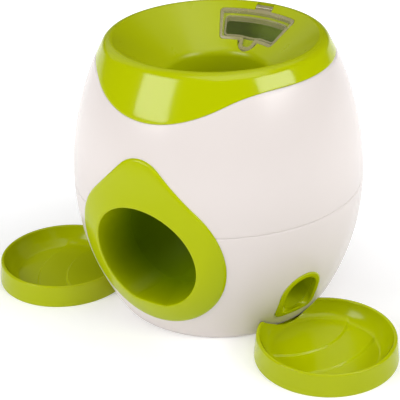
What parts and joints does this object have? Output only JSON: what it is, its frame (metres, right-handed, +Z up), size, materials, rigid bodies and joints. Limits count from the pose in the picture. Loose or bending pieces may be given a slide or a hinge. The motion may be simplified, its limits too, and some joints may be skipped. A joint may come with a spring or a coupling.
{
  "type": "ball drop pet treat dispenser",
  "caption": "Barrel-shaped pet treat dispenser with a bowl on top, a ball outlet in front, a clear refill hatch and a treat tray on each side.",
  "frame": {"origin": "on the floor under the middle of the barrel", "axes": "+Z up; -Y out of the ball outlet, which is the front; +X towards the tray on the right in the front view"},
  "size_m": [0.3902, 0.2512, 0.24],
  "materials": {
    "white_gloss": "moulded warm white, glossy",
    "green_gloss": "moulded lime green, glossy",
    "clear_plastic": "clear moulded plastic",
    "green_matte": "moulded lime green, fine texture",
    "white_matte": "moulded white, fine texture",
    "steel": "bright zinc-plated",
    "grey_rubber": "soft matte"
  },
  "bodies": {
    "housing": {"lower_shell": "white_gloss", "upper_shell": "white_gloss", "top_bowl": "green_gloss", "hatch_hinge_pin": "steel", "ball_outlet_surround": "green_gloss", "ball_chute_left": "green_matte", "ball_chute_right": "green_matte", "outlet_collar_left": "green_gloss", "outlet_collar_right": "green_gloss", "treat_chute_left": "green_matte", "treat_chute_right": "green_matte", "treat_divider": "white_matte", "treat_hopper": "green_matte", "drum_frame": "white_matte", "drum_cover": "white_matte", "return_spring": "steel", "base_plate": "white_matte", "rubber_feet": "grey_rubber", "base_screws": "steel", "bowl_screws": "steel", "chute_screws": "steel", "hopper_screws": "steel", "frame_screws": "steel"},
    "hatch": {"hatch_lid": "clear_plastic"},
    "trip": {"dosing_drum": "green_matte", "drum_axle": "steel", "axle_clip": "steel", "trip_paddle": "green_matte"},
    "left_tray": {"tray_left": "green_gloss"},
    "right_tray": {"tray_right": "green_gloss"}
  },
  "joints": [
    {"name": "hatch_hinge", "type": "hinge", "parent": "housing", "child": "hatch", "pos_m": [0, 0.0835, 0.2362], "axis": [-1, 0, 0], "range_deg": [0, 125]},
    {"name": "paddle_trip", "type": "hinge", "parent": "housing", "child": "trip", "pos_m": [0, 0.0825, 0.15], "axis": [1, 0, 0], "range_deg": [0, 40], "stiffness_Nm_per_rad": 0.02, "springref_deg": -34.38, "deforming": ["return_spring"]},
    {"name": "left_tray_slide", "type": "slide", "parent": "housing", "child": "left_tray", "axis": [-0.9252, -0.3795, 0], "range_m": [0, 0.06]},
    {"name": "right_tray_slide", "type": "slide", "parent": "housing", "child": "right_tray", "axis": [0.9252, -0.3795, 0], "range_m": [0, 0.06]}
  ]
}
